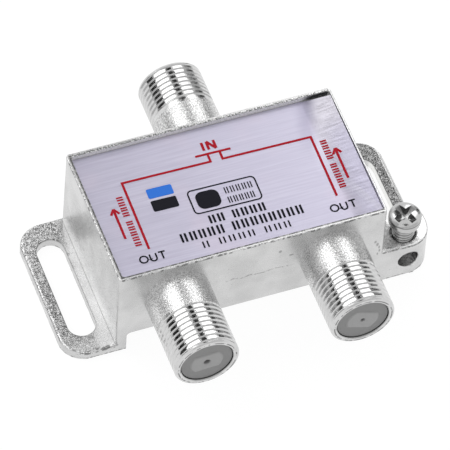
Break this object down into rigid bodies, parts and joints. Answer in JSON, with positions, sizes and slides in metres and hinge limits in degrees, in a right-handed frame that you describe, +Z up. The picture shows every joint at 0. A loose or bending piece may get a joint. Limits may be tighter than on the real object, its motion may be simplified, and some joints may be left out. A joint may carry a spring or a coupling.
{
  "type": "coaxial splitter",
  "caption": "Die-cast coaxial splitter with a threaded input port, output ports, slotted mounting ears, a ground block with its clamping screw, and a foil label.",
  "frame": {"origin": "centre of the bounding box, in the plane of the ears' undersides", "axes": "+X along the housing towards the ground block, +Y the way the input port faces, +Z up through the label"},
  "size_m": [0.0546, 0.0474, 0.0162],
  "materials": {
    "cast_metal": "nickel-plated zinc casting, satin, with bright threads",
    "foil": "brushed, tinted foil",
    "screw_metal": "bright plated steel",
    "plug_plastic": "grey moulded plastic",
    "contact_metal": "plated spring bronze",
    "cover_metal": "tinned sheet steel",
    "board_laminate": "uncoated laminate",
    "ferrite": "dull black ferrite",
    "enamelled_wire": "enamelled copper wire",
    "diode_body": "moulded black body",
    "resistor_body": "lacquered body",
    "capacitor_body": "dipped ceramic disc"
  },
  "bodies": {
    "splitter": {"housing": "cast_metal", "bottom_cover": "cover_metal", "label": "foil", "insulator_in": "plug_plastic", "insulator_out_left": "plug_plastic", "insulator_out_right": "plug_plastic", "contact_in": "contact_metal", "contact_out_left": "contact_metal", "contact_out_right": "contact_metal", "circuit_board": "board_laminate", "matching_core": "ferrite", "splitter_core": "ferrite", "matching_winding": "enamelled_wire", "splitter_winding": "enamelled_wire", "choke_core_left": "ferrite", "choke_core_right": "ferrite", "choke_winding_left": "enamelled_wire", "choke_winding_right": "enamelled_wire", "diode_left": "diode_body", "diode_right": "diode_body", "isolation_resistor": "resistor_body", "capacitor_in": "capacitor_body", "capacitor_out_left": "capacitor_body", "capacitor_out_right": "capacitor_body"},
    "screw": {"ground_screw": "screw_metal"}
  },
  "joints": [
    {"name": "screw_travel", "type": "slide", "parent": "splitter", "child": "screw", "axis": [0, 0, 1], "range_m": [-0.0022, 0.0012]}
  ]
}
